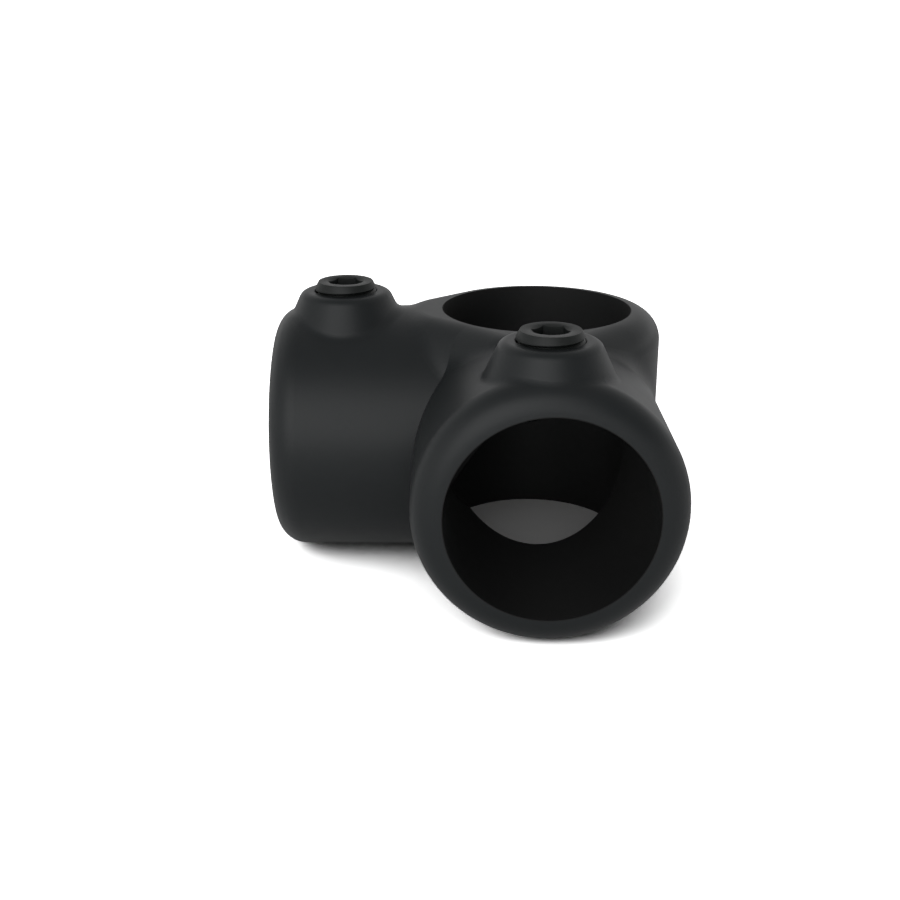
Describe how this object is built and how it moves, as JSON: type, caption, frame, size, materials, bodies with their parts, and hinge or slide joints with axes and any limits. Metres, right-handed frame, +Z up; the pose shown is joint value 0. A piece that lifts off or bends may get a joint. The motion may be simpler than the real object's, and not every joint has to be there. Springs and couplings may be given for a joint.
{
  "type": "corner tube connector",
  "caption": "Cast corner fitting with an upright through collar and sockets at right angles, which clamps round tubes with hex socket set screws.",
  "frame": {"origin": "where the axes of the upright bore and the sockets meet, halfway up the collar", "axes": "+Z up the upright bore, -Y out of the front socket, -X out of the side socket"},
  "size_m": [0.1015, 0.1076, 0.0724],
  "materials": {
    "casting": "matte",
    "set_screws": "satin"
  },
  "bodies": {
    "casting": {"cast_body": "casting"},
    "front_screw": {"front_set_screw": "set_screws"},
    "side_screw": {"side_set_screw": "set_screws"},
    "upright_screw": {"upright_set_screw": "set_screws"}
  },
  "joints": [
    {"name": "front_screw_travel", "type": "slide", "parent": "casting", "child": "front_screw", "axis": [0, 0, 1], "range_m": [-0.0025, 0.008]},
    {"name": "side_screw_travel", "type": "slide", "parent": "casting", "child": "side_screw", "axis": [0, 0, 1], "range_m": [-0.0025, 0.008]},
    {"name": "upright_screw_travel", "type": "slide", "parent": "casting", "child": "upright_screw", "axis": [0, 1, 0], "range_m": [-0.0025, 0.008]}
  ]
}
